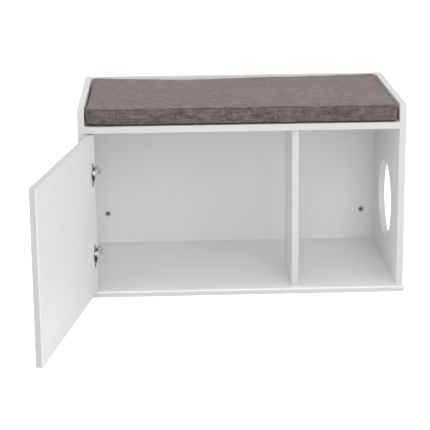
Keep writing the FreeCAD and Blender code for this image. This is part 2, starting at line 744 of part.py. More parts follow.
def hull(first, first_round, second, second_round, low, high):
    """Upright plate with the outline of a belt round two circles."""
    run = second - first
    ends = [(first, first_round), (second, second_round)]
    lean = math.acos((first_round - second_round) / run.Length)
    heading = math.atan2(run.y, run.x)
    rims = []
    for side in (1, -1):
        angle = heading + side * lean
        normal = Vector(math.cos(angle), math.sin(angle), 0)
        rims.append([centre + normal * radius for centre, radius in ends])
    tip = second + Vector(math.cos(heading), math.sin(heading), 0) * second_round
    tail = first - Vector(math.cos(heading), math.sin(heading), 0) * first_round
    outline = [
        Part.LineSegment(rims[0][0], rims[0][1]).toShape(),
        Part.Arc(rims[0][1], tip, rims[1][1]).toShape(),
        Part.LineSegment(rims[1][1], rims[1][0]).toShape(),
        Part.Arc(rims[1][0], tail, rims[0][0]).toShape(),
    ]
    plate = Part.Face(Part.Wire(outline)).extrude(UP * (high - low))
    plate.translate(UP * low)
    return plate


def disc(centre, radius, low, high):
    return Part.makeCylinder(radius, high - low, Vector(centre.x, centre.y, low), UP)


def block(low, high):
    """Box between two opposite corners."""
    return Part.makeBox(high.x - low.x, high.y - low.y, high.z - low.z, low)


def bowed_bar(start, end, bow, low, high):
    """Bar of a link's width that curves to the right of the line from start to end."""
    run = end - start
    right = Vector(run.y, -run.x, 0).normalize()
    middle = (start + end) * 0.5 + right * bow
    inner = [spot - right * LINK_HALF for spot in (start, middle, end)]
    outer = [spot + right * LINK_HALF for spot in (end, middle, start)]
    outline = [
        Part.Arc(*inner).toShape(),
        Part.LineSegment(inner[2], outer[0]).toShape(),
        Part.Arc(*outer).toShape(),
        Part.LineSegment(outer[2], inner[0]).toShape(),
    ]
    bar = Part.Face(Part.Wire(outline)).extrude(UP * (high - low))
    bar.translate(UP * low)
    return bar


def short_link():
    """Inner link, from the pin in the cup to the pin in the arm's nose."""
    bar = bowed_bar(SHORT_PIN, SHORT_PIVOT, size("short_link_bow"), -SHORT_HALF, SHORT_HALF)
    for centre in (SHORT_PIN, SHORT_PIVOT):
        bar = bar.fuse(disc(centre, EYE, -SHORT_HALF, SHORT_HALF))
    for centre in (SHORT_PIN, SHORT_PIVOT):
        bar = bar.cut(disc(centre, PIN + PLAY, -EAR_FAR, EAR_FAR))
    return bar.removeSplitter()


def long_link():
    """Outer link: two bowed cheeks riveted to one pin in the arm, with stub pins at the far end."""
    link = disc(LONG_PIVOT, PIN, -SHELL_FAR, SHELL_FAR)
    for side in (1, -1):
        low, high = sorted((side * SHELL_NEAR, side * SHELL_FAR))
        link = link.fuse(bowed_bar(LONG_PIN, LONG_PIVOT, size("long_link_bow"), low, high))
        link = link.fuse(disc(LONG_PIN, EYE, low, high)).fuse(disc(LONG_PIVOT, EYE, low, high))
        low, high = sorted((side * SHELL_NEAR, side * (SHELL_FAR + size("stub_proud"))))
        link = link.fuse(disc(LONG_PIN, PIN, low, high))
    return link.removeSplitter()


def hinge_cup():
    """Cup with its screw flange and the two ears that carry the inner link's pin."""
    radius = size("cup_dia") / 2
    bottom = FACE - size("cup_depth")
    floor = bottom + size("cup_floor")
    round_ear = size("cup_ear_round")

    def round_bar(reach, start, end):
        return Part.makeCylinder(reach, end - start, Vector(CUP.x, start, 0), BACKWARD)

    cup = round_bar(radius, bottom, FACE)
    cup = cup.fuse(round_bar(radius + size("cup_brim"), FACE, FLANGE))
    for spot in LOBES:
        cup = cup.fuse(belt(CUP, size("flange_middle_round"), spot, size("flange_ear_round"), FACE, FLANGE))
    cup = cup.cut(round_bar(radius - size("cup_wall"), floor, FLANGE))
    for side in (1, -1):
        low, high = sorted((side * EAR_NEAR, side * EAR_FAR))
        foot = Vector(SHORT_PIN.x - round_ear, bottom, low)
        cup = cup.fuse(block(foot, Vector(SHORT_PIN.x + round_ear, SHORT_PIN.y, high)))
        cup = cup.fuse(disc(SHORT_PIN, round_ear, low, high))
    for spot in LOBES:
        cup = cup.cut(sunk_hole(spot + BACKWARD * FLANGE, BACKWARD, "cup_screw"))
    # the wall and flange are cut away where the links swing out
    mouth = Vector(CUP.x - size("mouth_to_centre"), FLANGE, SHELL_FAR + 1)
    cup = cup.cut(block(Vector(0, FACE - size("mouth_deep"), -SHELL_FAR - 1), mouth))
    return cup.cut(disc(SHORT_PIN, PIN, -EAR_FAR, EAR_FAR)).removeSplitter()


def belt(first, first_round, second, second_round, start, end):
    """Belt outline round two circles on the door's face, thick from start to end along Y."""
    def flat(spot):
        return Vector(spot.x, spot.z, 0)
    plate = hull(flat(first), first_round, flat(second), second_round, 0, end - start)
    plate.rotate(Vector(), Vector(1, 0, 0), 90)
    plate.translate(Vector(0, end, 0))
    return plate


def hinge_arm():
    """Arm from the mounting plate to the nose that carries both fixed pins."""
    nose_round = size("nose_round")
    wall = size("arm_wall")
    elbow = Vector(size("elbow_across"), size("elbow_deep"), 0)
    heel = Vector(size("heel_across"), PLATE_SCREW - size("heel_before_screw"), 0)
    nose = hull(SHORT_PIVOT, nose_round, LONG_PIVOT, nose_round, -EAR_FAR, EAR_FAR)
    nose = nose.fuse(hull(LONG_PIVOT, nose_round, elbow, size("elbow_round"), -EAR_FAR, EAR_FAR))
    nose = nose.cut(disc(SHORT_PIVOT, EYE + size("eye_room"), -EAR_NEAR, EAR_NEAR))
    shank = hull(elbow, size("elbow_round"), heel, size("heel_round"), -ARM_HALF, ARM_HALF)
    start = PLATE_SCREW - size("arm_before_screw")
    end = NEXT_PLATE_SCREW + size("arm_past_screw")
    channel = block(Vector(PLATE_FACE, start, -ARM_HALF), Vector(ARM_TOP, end, ARM_HALF))
    hollow = block(
        Vector(PLATE_FACE, start + size("arm_front_wall"), wall - ARM_HALF),
        Vector(ARM_TOP - wall, end - wall, ARM_HALF - wall),
    )
    arm = nose.fuse(shank).fuse(channel).cut(hollow)
    for row in ADJUSTERS:
        bore = size("adjuster_core") / 2 + GAP
        arm = arm.cut(Part.makeCylinder(bore, ARM_TOP, Vector(PLATE_FACE, row, 0), EAST))
    arm = arm.cut(disc(SHORT_PIVOT, PIN, -EAR_FAR, EAR_FAR))
    return arm.cut(disc(LONG_PIVOT, PIN + PLAY, -EAR_FAR, EAR_FAR)).removeSplitter()


def mounting_plate():
    """Plate with rounded corners, screwed to the side panel through two sunk holes."""
    start = PLATE_SCREW - size("plate_margin")
    end = NEXT_PLATE_SCREW + size("plate_margin")
    half = ARM_HALF + size("plate_brim")
    plate = block(Vector(0, start, -half), Vector(PLATE_FACE, end, half))
    corners = [edge for edge in plate.Edges if straight(edge, "x")]
    plate = plate.makeFillet(size("plate_corner"), corners)
    for row in (PLATE_SCREW, NEXT_PLATE_SCREW):
        plate = plate.cut(sunk_hole(Vector(PLATE_FACE, row, 0), EAST, "plate_screw"))
    return plate


def sunk_hole(spot, outward, screw):
    """Clearance hole, sunk for a flat head that ends flush with a spot on the surface."""
    core = size(screw + "_core") / 2 + 2 * GAP
    head = size(screw + "_head") / 2 + 2 * GAP
    sink = size("screw_sink")
    bore = Part.makeCylinder(core, PLATE_FACE + sink, spot - outward * (PLATE_FACE + sink), outward)
    return bore.fuse(Part.makeCone(core, head, sink, spot - outward * sink, outward))


def slotted(screw, spot, inward, head):
    """A screw with a driver slot across its head's face."""
    wide = size("driver_slot")
    slot = Part.makeBox(2 * head, wide, 2 * wide, Vector(-head, -wide / 2, -wide))
    slot.Placement = FreeCAD.Placement(spot, FreeCAD.Rotation(UP, inward))
    return screw.cut(slot).removeSplitter()


def countersunk(spot, inward, screw):
    """Flat-headed screw with a blunt point, from a spot on the surface inward."""
    core = size(screw + "_core") / 2
    head = size(screw + "_head") / 2
    length = size(screw + "_long")
    piece = Part.makeCylinder(core, length, spot, inward)
    piece = piece.fuse(Part.makeCone(head, core, size("screw_sink"), spot, inward))
    piece = piece.fuse(Part.makeCone(core, core / 3, core, spot + inward * length, inward))
    return slotted(piece, spot, inward, head)


def adjusting_screw(row):
    """Screw through the arm's top onto the plate."""
    head = size("adjuster_head") / 2
    thick = size("adjuster_head_thick")
    core = size("adjuster_core") / 2
    piece = Part.makeCylinder(core, ARM_TOP + thick - PLATE_FACE, Vector(PLATE_FACE, row, 0), EAST)
    piece = piece.fuse(Part.makeCylinder(head, thick, Vector(ARM_TOP, row, 0), EAST))
    return slotted(piece, Vector(ARM_TOP + thick, row, 0), EAST * -1, head)


def at_level(shape, level):
    """A copy of a hinge piece moved to one hinge's height."""
    moved = shape.copy()
    moved.translate(Vector(0, 0, value(HINGE_LEVELS[level])))
    return moved


def hinge_node(name, makers, levels, place):
    """A node of hinge pieces, drawn shut and then set to the rest pose by its placement."""
    shapes = [at_level(shape, level) for level in levels for shape in makers]
    for shape in shapes:
        shape.translate(CORNER - place.Base)
    return solid_node(name, Part.makeCompound(shapes), place)


STILL = FreeCAD.Placement(CORNER, FreeCAD.Rotation())
LEVELS = tuple(HINGE_LEVELS)
for level in LEVELS:
    hinge_node(level + "_hinge_plate", [mounting_plate()], [level], STILL)
    hinge_node(level + "_hinge_arm", [hinge_arm()], [level], STILL)
    hinge_node(level + "_inner_link", [short_link()], [level], SHORT_SWING)
    hinge_node(level + "_outer_link", [long_link()], [level], LONG_SWING)
    hinge_node(level + "_hinge_cup", [hinge_cup()], [level], DOOR_SWING)
plate_screw_tops = [Vector(PLATE_FACE, row, 0) for row in (PLATE_SCREW, NEXT_PLATE_SCREW)]
plate_screws = [countersunk(spot, EAST * -1, "plate_screw") for spot in plate_screw_tops]
cup_screws = [countersunk(spot + BACKWARD * FLANGE, BACKWARD * -1, "cup_screw") for spot in LOBES]
hinge_node("hinge_plate_screws", plate_screws, LEVELS, STILL)
hinge_node("hinge_arm_pins", [disc(SHORT_PIVOT, PIN, -EAR_FAR, EAR_FAR)], LEVELS, STILL)
hinge_node("hinge_adjusting_screws", [adjusting_screw(row) for row in ADJUSTERS], LEVELS, STILL)
hinge_node("hinge_cup_pins", [disc(SHORT_PIN, PIN, -EAR_FAR, EAR_FAR)], LEVELS, DOOR_SWING)
hinge_node("hinge_cup_screws", cup_screws, LEVELS, DOOR_SWING)


# ---------------------------------------------------------------- the seat cushion
# outlines along the cushion: share of half its width, of the waist drawn in and of the crown's rise
STATIONS = ((1, 1, 0.3), (0.94, 0.2, 0.6), (0.5, 0, 0.93))


def cushion_shape(inset):
    """Crowned cushion with drawn-in sides, lofted along the cabinet's width."""
    half = value(INNER_WIDTH) / 2 - size("cushion_gap") - inset
    front = size("cushion_set_back") + inset
    rear = value(BACK_FRONT) - size("cushion_gap") - inset
    low = value(SEAT_TOP) + size("cushion_seat_gap") + inset
    seam = value(SEAT_TOP) + size("cushion_seam") - inset
    waist = size("cushion_waist")
    pull = size("cushion_seam_draw")
    middle = (low + seam) / 2
    left = [(-place, drawn, rise) for place, drawn, rise in STATIONS]
    sections = []
    for place, drawn, rise in left + [(0, 0, 1)] + list(reversed(STATIONS)):
        x = place * half
        y0, y1 = front + drawn * waist, rear - drawn * waist
        top = seam - drawn * waist
        crest = top + rise * size("cushion_crown")
        spots = [
            Vector(x, y0 + waist, low),
            Vector(x, y1 - waist, low),
            Vector(x, y1 - pull, top),
            Vector(x, y0 + pull, top),
        ]
        outline = [
            Part.LineSegment(spots[0], spots[1]).toShape(),
            Part.Arc(spots[1], Vector(x, y1, middle), spots[2]).toShape(),
            Part.Arc(spots[2], Vector(x, (y0 + y1) / 2, crest), spots[3]).toShape(),
            Part.Arc(spots[3], Vector(x, y0, middle), spots[0]).toShape(),
        ]
        sections.append(Part.Wire(outline))
    return Part.makeLoft(sections, True, False)


cover = cushion_shape(0).cut(cushion_shape(size("cover_thick")))
solid_node("cushion_cover", cover)
solid_node("cushion_foam", cushion_shape(size("cover_thick") + size("foam_gap")))


# ---------------------------------------------------------------- checks and files
doc.recompute()
for node in NODES:
    if "Invalid" in node.State or "Error" in node.State:
        raise ValueError(node.Label + " did not build")
    if node.Shape.isNull() or not node.Shape.isValid():
        raise ValueError(node.Label + " has no sound shape")
os.makedirs("parts", exist_ok=True)
for node in NODES:
    node.Shape.exportStep(os.path.join("parts", node.Label + ".step"))
print("%d parts written" % len(NODES))
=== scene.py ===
import math

import bmesh
import bpy
from mathutils import Matrix, Vector, noise


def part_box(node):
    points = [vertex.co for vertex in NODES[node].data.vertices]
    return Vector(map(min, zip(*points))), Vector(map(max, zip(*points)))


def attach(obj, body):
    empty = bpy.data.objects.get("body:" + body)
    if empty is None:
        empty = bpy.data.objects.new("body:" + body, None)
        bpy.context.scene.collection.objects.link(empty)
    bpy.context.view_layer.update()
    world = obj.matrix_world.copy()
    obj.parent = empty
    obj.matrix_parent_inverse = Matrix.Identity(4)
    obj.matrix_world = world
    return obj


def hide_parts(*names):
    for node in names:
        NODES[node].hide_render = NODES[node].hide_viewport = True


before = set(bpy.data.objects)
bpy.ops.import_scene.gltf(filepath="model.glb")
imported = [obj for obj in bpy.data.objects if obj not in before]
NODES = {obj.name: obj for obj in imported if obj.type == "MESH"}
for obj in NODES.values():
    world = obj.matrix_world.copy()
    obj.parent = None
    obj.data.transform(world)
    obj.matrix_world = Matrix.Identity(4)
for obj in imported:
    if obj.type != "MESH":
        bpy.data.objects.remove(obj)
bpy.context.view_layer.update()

bl_info = {
    "name": "Litter Cabinet Dresser",
    "version": (1, 0, 0),
    "blender": (4, 5, 0),
    "location": "View3D > Sidebar > Litter Cabinet",
    "description": "Finishes the boards and fittings of a cat litter cabinet and sews its seat cushion",
    "category": "Object",
}

# ------------------------------------------------------------------ places taken from the frame
SIDEWAYS_BOARDS = ["left_side_panel", "right_side_panel", "divider_panel"]
LEVEL_BOARDS = ["bottom_panel", "seat_panel"]
PEG_NODES = ["base_dowels", "back_dowels", "seat_dowels"]
SCREW_NODES = ["base_screws", "seat_screws", "back_cam_bolts", "seat_cam_bolts", "hinge_plate_screws",
               "hinge_adjusting_screws", "hinge_cup_screws"]
ARM_NODES = [level + "_" + part for level in ("upper", "lower")
             for part in ("hinge_plate", "hinge_arm", "inner_link", "outer_link")]
CUP_NODES = ["upper_hinge_cup", "lower_hinge_cup"]
PIN_NODES = ["hinge_arm_pins", "hinge_cup_pins"]

SEAT_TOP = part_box("seat_panel")[1].z
WELL_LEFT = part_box("left_side_panel")[1].x
WELL_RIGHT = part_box("right_side_panel")[0].x
WELL_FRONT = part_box("left_side_panel")[0].y
WELL_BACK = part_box("back_panel")[0].y


# ------------------------------------------------------------------ what a user would change
def length(name, description, default):
    """A length in metres, shown in the scene's own units."""
    return bpy.props.FloatProperty(
        name=name, description=description, default=default, subtype="DISTANCE", unit="LENGTH", precision=4)


def colour(name, description, default):
    """A colour, as shares of red, green and blue."""
    return bpy.props.FloatVectorProperty(
        name=name, description=description, default=default, size=3, subtype="COLOR", min=0, max=1)


def angle(name, description, degrees):
    """An angle, given here in degrees and kept in radians."""
    return bpy.props.FloatProperty(
        name=name, description=description, default=math.radians(degrees), subtype="ANGLE")


def power(name, description, default):
    """A lamp's power in watts."""
    return bpy.props.FloatProperty(name=name, description=description, default=default, unit="POWER", min=0)


class CabinetFinish(bpy.types.PropertyGroup):
    """Colours of the boards and the fittings."""
    board: colour("Board", "Colour of the white melamine faces", (0.85, 0.846, 0.844))
    # the carcass band colour is the bands' own greyer tone with painted shade added
    banding_and_shade: colour("Banding", "Colour of the glued edge bands", (0.635, 0.627, 0.625))
    door: colour("Door", "Colour of the door's faces", (0.785, 0.779, 0.778))
    # painted shade: the door's band colour is set well below its faces, for its shaded free edge
    door_band_shade: colour("Door band", "Colour of the door's edge bands", (0.56, 0.552, 0.55))
    peg: colour("Peg", "Colour of the beech dowels", (0.62, 0.43, 0.25))
    nickel: colour("Nickel", "Colour of the nickel-plated hinge arms and links", (0.88, 0.86, 0.83))
    cup: colour("Cup", "Colour of the hinge cups, plated darker", (0.36, 0.34, 0.31))
    zinc: colour("Zinc", "Colour of the zinc-plated screws and bolts", (0.55, 0.56, 0.58))
    cam: colour("Cam", "Colour of the cast cam locks", (0.46, 0.44, 0.42))


class CushionPattern(bpy.types.PropertyGroup):
    """Sizes and colours of the seat cushion."""
    side_gap: length("Side gap", "Clear space between the cushion and each side panel", 0.003)
    front_gap: length("Front gap", "How far the cushion's front stays behind the side panels' front", 0.002)
    back_gap: length("Back gap", "Clear space between the cushion and the back panel", 0.006)
    wall: length("Wall", "Height of the cushion's boxed side, from seam to seam", 0.0425)
    corner: length("Corner", "Radius of the cushion's upright corners", 0.012)
    pull_in: length("Pull in", "How far the long rear seam is drawn in at its middle", 0.006)
    corner_lift: length("Corner lift", "How far the stiff seams lift the rear corners", 0.004)
    cell: length("Cell", "Cell of the mesh that the cloth is worked on", 0.006)
    swell: length("Swell", "Most that any point may move while the cushion fills", 0.011)
    seam_width: length("Seam width", "Half width of the furrow that a seam draws", 0.0035)
    front_lift: length("Front lift", "How far the stiff lower seam stands off the seat at the front", 0.0016)
    fold: length("Fold", "Depth of the loose folds on the cushion's front", 0.0026)
    seam_depth: length("Seam depth", "Depth of the furrow that a seam draws", 0.0022)
    thread: length("Thread", "Pitch of the woven threads", 0.0021)
    light: colour("Light thread", "Colour of the lighter threads", (0.238, 0.199, 0.19))
    dark: colour("Dark thread", "Colour of the darker threads", (0.066, 0.053, 0.05))
    # painted shadow: this near-black colour stands in for the shadow under the cushion's edge
    underside: colour("Underside", "Colour of the cushion's non-slip underside", (0.011, 0.01, 0.01))


class StudioSetup(bpy.types.PropertyGroup):
    """Camera and lights."""
    eye: bpy.props.FloatVectorProperty(
        name="Eye", description="Place of the camera",
        default=(-0.18876, -3.6046, 1.18715), size=3, subtype="XYZ")
    yaw: angle("Yaw", "How far the camera looks to the right", 2.04)
    pitch: angle("Pitch", "How far the camera looks up", -14.009)
    roll: angle("Roll", "How far the camera leans", -0.52)
    reach: bpy.props.FloatProperty(
        name="Reach", description="Focal length as a share of the picture's width", default=3.32902)
    drop: bpy.props.FloatProperty(
        name="Drop", description="Lens shift as a share of the picture's width", default=-0.1209)
    key: power("Key", "Strength of the key light, from the right of the camera", 14.5)
    front: power("Front", "Strength of the light behind the camera", 17.6)
    high: power("High", "Strength of the high light before the cabinet", 19.0)
    top: power("Top", "Strength of the light over the cabinet", 19.2)
    left: power("Left", "Strength of the small light on the left", 3.4)
    room: bpy.props.FloatProperty(
        name="Room", description="Strength of the room's even light", default=0.56, min=0)
    floor: colour("Floor", "Colour of the studio floor", (0.93, 0.93, 0.93))
    floor_lift: bpy.props.FloatProperty(
        name="Floor lift", description="Light added to the floor where the camera sees it, to keep it white",
        default=0.6, min=0)


# ------------------------------------------------------------------ node helpers
def add(tree, kind, **settings):
    """A node in a tree, with its plain settings."""
    node = tree.nodes.new(kind)
    for name, value in settings.items():
        setattr(node, name, value)
    return node


def feed(tree, target, source):
    """Feeds an input from another node's output, or sets it to a plain value."""
    if isinstance(source, bpy.types.NodeSocket):
        tree.links.new(source, target)
    else:
        target.default_value = source


def maths(tree, operation, first, second=0.0, third=None):
    """Result of one sum on one, two or three numbers."""
    node = add(tree, "ShaderNodeMath", operation=operation)
    feed(tree, node.inputs[0], first)
    feed(tree, node.inputs[1], second)
    if third is not None:
        feed(tree, node.inputs[2], third)
    return node.outputs[0]


def plus(tree, first, second):
    return maths(tree, "ADD", first, second)


def times(tree, first, second):
    return maths(tree, "MULTIPLY", first, second)


def scaled(tree, vector, factor):
    """A vector or colour times one number."""
    node = add(tree, "ShaderNodeVectorMath", operation="SCALE")
    feed(tree, node.inputs[0], vector)
    feed(tree, node.inputs["Scale"], factor)
    return node.outputs["Vector"]


def alignment(tree, first, second):
    """1 where two directions agree, 0 where they are square to each other."""
    node = add(tree, "ShaderNodeVectorMath", operation="DOT_PRODUCT")
    feed(tree, node.inputs[0], first)
    feed(tree, node.inputs[1], second)
    return node.outputs["Value"]


def measured(tree, name):
    """A measure that the mesh carries at each of its points."""
    return add(tree, "ShaderNodeAttribute", attribute_name=name).outputs["Fac"]


def between(tree, factor, first, second):
    """Mix of two colours."""
    node = add(tree, "ShaderNodeMix", data_type="RGBA")
    feed(tree, node.inputs["Factor"], factor)
    feed(tree, node.inputs["A"], first)
    feed(tree, node.inputs["B"], second)
    return node.outputs["Result"]


def spread(tree, value, low, high, to_low=0.0, to_high=1.0):
    """Carries a range of values onto another, clamped."""
    node = add(tree, "ShaderNodeMapRange")
    numbers = {"Value": value, "From Min": low, "From Max": high, "To Min": to_low, "To Max": to_high}
    for name, number in numbers.items():
        feed(tree, node.inputs[name], number)
    return node.outputs["Result"]


def clouds(tree, vector, scale, detail, rough=0.55):
    """Cloudy noise from 0 to 1."""
    node = add(tree, "ShaderNodeTexNoise", noise_dimensions="3D")
    feed(tree, node.inputs["Vector"], vector)
    feed(tree, node.inputs["Scale"], scale)
    node.inputs["Detail"].default_value = detail
    node.inputs["Roughness"].default_value = rough
    return node.outputs["Fac"]


def stretched(tree, vector, scale):
    """A pattern's coordinates, stretched by three scales."""
    node = add(tree, "ShaderNodeMapping", vector_type="POINT")
    feed(tree, node.inputs["Vector"], vector)
    node.inputs["Scale"].default_value = scale
    return node.outputs["Vector"]


def new_group(name, inputs, outputs):
    """An empty shader group with named sockets; each is (name, kind, default)."""
    group = bpy.data.node_groups.new(name, "ShaderNodeTree")
    for label, kind, default in inputs:
        socket = group.interface.new_socket(label, in_out="INPUT", socket_type="NodeSocket" + kind)
        if default is not None:
            socket.default_value = default
    for label, kind in outputs:
        group.interface.new_socket(label, in_out="OUTPUT", socket_type="NodeSocket" + kind)
    return group, add(group, "NodeGroupInput"), add(group, "NodeGroupOutput")


def edge_group():
    """Softened edges, and a mask that picks them out for wear, rubbed corners and a painted shadow rim."""
    if "soft_edges" in bpy.data.node_groups:
        return bpy.data.node_groups["soft_edges"]
    group, given, out = new_group(
        "soft_edges", [("Radius", "Float", 0.0006)], [("Normal", "Vector"), ("Edge", "Float")])
    bevel = add(group, "ShaderNodeBevel", samples=4)
    group.links.new(given.outputs["Radius"], bevel.inputs["Radius"])
    geometry = add(group, "ShaderNodeNewGeometry")
    agree = alignment(group, bevel.outputs["Normal"], geometry.outputs["Normal"])
    group.links.new(bevel.outputs["Normal"], out.inputs["Normal"])
    group.links.new(spread(group, agree, 0.998, 0.9), out.inputs["Edge"])
    return group


def mottle_group():
    """Slight unevenness of a colour, with matching height and gloss variation."""
    if "mottle" in bpy.data.node_groups:
        return bpy.data.node_groups["mottle"]
    group, given, out = new_group(
        "mottle",
        [("Vector", "Vector", None), ("Colour", "Color", (0.8, 0.8, 0.8, 1)), ("Amount", "Float", 0.05),
         ("Scale", "Float", 30.0), ("Fine scale", "Float", 900.0)],
        [("Colour", "Color"), ("Height", "Float"), ("Gloss", "Float")])
    broad = clouds(group, given.outputs["Vector"], given.outputs["Scale"], 3.0)
    fine = clouds(group, given.outputs["Vector"], given.outputs["Fine scale"], 2.0)
    shade = maths(group, "SUBTRACT", 1.0, times(group, broad, given.outputs["Amount"]))
    group.links.new(scaled(group, given.outputs["Colour"], shade), out.inputs["Colour"])
    group.links.new(fine, out.inputs["Height"])
    gloss = plus(group, times(group, broad, 0.5), times(group, fine, 0.5))
    group.links.new(gloss, out.inputs["Gloss"])
    return group


YARN_WANDER = 1.6          # how far a yarn strays from its line, in threads
YARN_WANDER_SCALE = 0.13   # how often it strays
YARN_RISE = 0.6            # height that a yarn gains where it lies on top
YARN_SHADE_SCALE = 0.035   # how often a yarn's shade changes along its length


def weave_group():
    """Plain weave of uneven yarns: thread height, yarn colour mask and loose slubs."""
    if "plain_weave" in bpy.data.node_groups:
        return bpy.data.node_groups["plain_weave"]
    group, given, out = new_group(
        "plain_weave",
        [("Vector", "Vector", None), ("Threads", "Float", 600.0)],
        [("Height", "Float"), ("Yarn", "Float"), ("Streak", "Float")])
    threads = scaled(group, given.outputs["Vector"], given.outputs["Threads"])
    # the yarns wander a little, so the grid is never perfect
    wander = add(group, "ShaderNodeTexNoise")
    wander.inputs["Scale"].default_value = YARN_WANDER_SCALE
    wander.inputs["Detail"].default_value = 2.0
    group.links.new(threads, wander.inputs["Vector"])
    bent = add(group, "ShaderNodeVectorMath", operation="MULTIPLY_ADD")
    group.links.new(wander.outputs["Color"], bent.inputs[0])
    bent.inputs[1].default_value = (YARN_WANDER, YARN_WANDER, 0)
    group.links.new(threads, bent.inputs[2])
    split = add(group, "ShaderNodeSeparateXYZ")
    group.links.new(bent.outputs["Vector"], split.inputs[0])
    across, along = split.outputs["X"], split.outputs["Y"]
    # over and under: each yarn is a rounded ridge whose height swaps at every crossing
    ridge_warp = maths(group, "ABSOLUTE", maths(group, "SINE", times(group, across, math.pi)))
    ridge_weft = maths(group, "ABSOLUTE", maths(group, "SINE", times(group, along, math.pi)))
    cell = plus(group, maths(group, "FLOOR", across), maths(group, "FLOOR", along))
    odd = maths(group, "ABSOLUTE", maths(group, "MODULO", cell, 2.0))
    warp = times(group, ridge_warp, maths(group, "MULTIPLY_ADD", odd, YARN_RISE, 1.0 - YARN_RISE))
    weft = times(group, ridge_weft, maths(group, "MULTIPLY_ADD", odd, -YARN_RISE, 1.0))
    height = maths(group, "MAXIMUM", warp, weft)
    # each yarn has its own shade, and slubs run along it
    weft_line = add(group, "ShaderNodeCombineXYZ")
    feed(group, weft_line.inputs[0], times(group, across, YARN_SHADE_SCALE))
    feed(group, weft_line.inputs[1], maths(group, "FLOOR", along))
    warp_line = add(group, "ShaderNodeCombineXYZ")
    feed(group, warp_line.inputs[0], maths(group, "FLOOR", across))
    feed(group, warp_line.inputs[1], times(group, along, YARN_SHADE_SCALE))
    weft_shade = clouds(group, weft_line.outputs[0], 1.0, 2.0)
    warp_shade = clouds(group, warp_line.outputs[0], 1.0, 2.0)
    yarn = plus(group, times(group, weft_shade, odd),
                 times(group, warp_shade, maths(group, "SUBTRACT", 1.0, odd)))
    group.links.new(height, out.inputs["Height"])
    group.links.new(spread(group, yarn, 0.3, 0.7), out.inputs["Yarn"])
    group.links.new(spread(group, weft_shade, 0.35, 0.65), out.inputs["Streak"])
    return group


def brushed_group():
    """Fine drawn lines of plated sheet metal."""
    if "drawn_metal" in bpy.data.node_groups:
        return bpy.data.node_groups["drawn_metal"]
    group, given, out = new_group(
        "drawn_metal",
        [("Vector", "Vector", None), ("Rough", "Float", 0.3)],
        [("Rough", "Float"), ("Height", "Float")])
    lines = clouds(group, stretched(group, given.outputs["Vector"], (2500, 300, 2500)), 1.0, 3.0)
    spots = clouds(group, given.outputs["Vector"], 220.0, 3.0)
    mixed = plus(group, times(group, lines, 0.16), times(group, spots, 0.14))
    group.links.new(plus(group, given.outputs["Rough"], maths(group, "SUBTRACT", mixed, 0.15)),
                    out.inputs["Rough"])
    group.links.new(lines, out.inputs["Height"])
    return group


def use_group(tree, group, **inputs):
    """A shader group placed in a material, with its own values."""
    node = add(tree, "ShaderNodeGroup", node_tree=group)
    for name, value in inputs.items():
        feed(tree, node.inputs[name.replace("_", " ")], value)
    return node


def new_material(name):
    """A node material with its Principled shader, and the object's own coordinates."""
    material = bpy.data.materials.new(name)
    material.use_nodes = True
    tree = material.node_tree
    shader = tree.nodes["Principled BSDF"]
    place = add(tree, "ShaderNodeTexCoord").outputs["Object"]
    return material, tree, shader, place


def bump(tree, height, distance, strength, normal=None):
    """A normal that is tilted by the slopes of a height."""
    node = add(tree, "ShaderNodeBump")
    node.inputs["Strength"].default_value = strength
    node.inputs["Distance"].default_value = distance
    feed(tree, node.inputs["Height"], height)
    if normal is not None:
        feed(tree, node.inputs["Normal"], normal)
    return node.outputs["Normal"]


# ------------------------------------------------------------------ materials
FINE_RELIEF = 0.00002                  # height of the finest bumps, in metres
RUBBED_BOARD = (0.66, 0.65, 0.64, 1)   # melamine where an edge is rubbed
# painted shadow of the gap round each cam, and painted shade inside its driver cross
CAM_RIM_SHADOW = (0.06, 0.055, 0.05, 1)
CAM_RECESS_SHADE = (0.006, 0.006, 0.006, 1)


def board_facing(name):
    """Direction that a board's broad faces look in: the normal of its largest face."""
    return max(NODES[name].data.polygons, key=lambda face: face.area).normal.copy()


def white_melamine(name, facing, face, band):
    """Melamine-faced board: nearly even white, faint pearl in its gloss; edge bands greyer, partly their own
    tone and partly painted shade.
    """
    material, tree, shader, place = new_material(name)
    mottle = use_group(tree, mottle_group(), Vector=place, Colour=(*face, 1), Amount=0.03, Scale=7.0)
    mottle.inputs["Fine scale"].default_value = 1400.0
    own_normal = add(tree, "ShaderNodeTexCoord").outputs["Normal"]
    # edge faces take the band colour: the bands' own greyer tone with painted shade added
    on_band = spread(tree, maths(tree, "ABSOLUTE", alignment(tree, own_normal, facing)), 0.5, 0.3)
    toned = between(tree, on_band, mottle.outputs["Colour"], (*band, 1))
    edges = use_group(tree, edge_group(), Radius=0.0009)
    rub = times(tree, edges.outputs["Edge"], clouds(tree, place, 45.0, 4.0))
    worn = between(tree, times(tree, rub, 0.35), toned, RUBBED_BOARD)
    feed(tree, shader.inputs["Base Color"], worn)
    rough = spread(tree, mottle.outputs["Gloss"], 0.3, 0.7, 0.36, 0.46)
    feed(tree, shader.inputs["Roughness"], plus(tree, rough, times(tree, rub, 0.2)))
    relief = bump(tree, mottle.outputs["Height"], FINE_RELIEF, 0.6, edges.outputs["Normal"])
    feed(tree, shader.inputs["Normal"], relief)
    shader.inputs["Specular IOR Level"].default_value = 0.45
    return material


def beech_peg(look):
    """Fluted beech dowels: pale wood with short grain lines."""
    material, tree, shader, place = new_material("beech_peg")
    grain = clouds(tree, stretched(tree, place, (60, 420, 60)), 4.0, 5.0)
    dark = tuple(0.62 * part for part in look.peg)
    wood = between(tree, spread(tree, grain, 0.35, 0.7), (*look.peg, 1), (*dark, 1))
    feed(tree, shader.inputs["Base Color"], wood)
    shader.inputs["Roughness"].default_value = 0.7
    feed(tree, shader.inputs["Normal"], bump(tree, grain, 0.0002, 0.5))
    return material


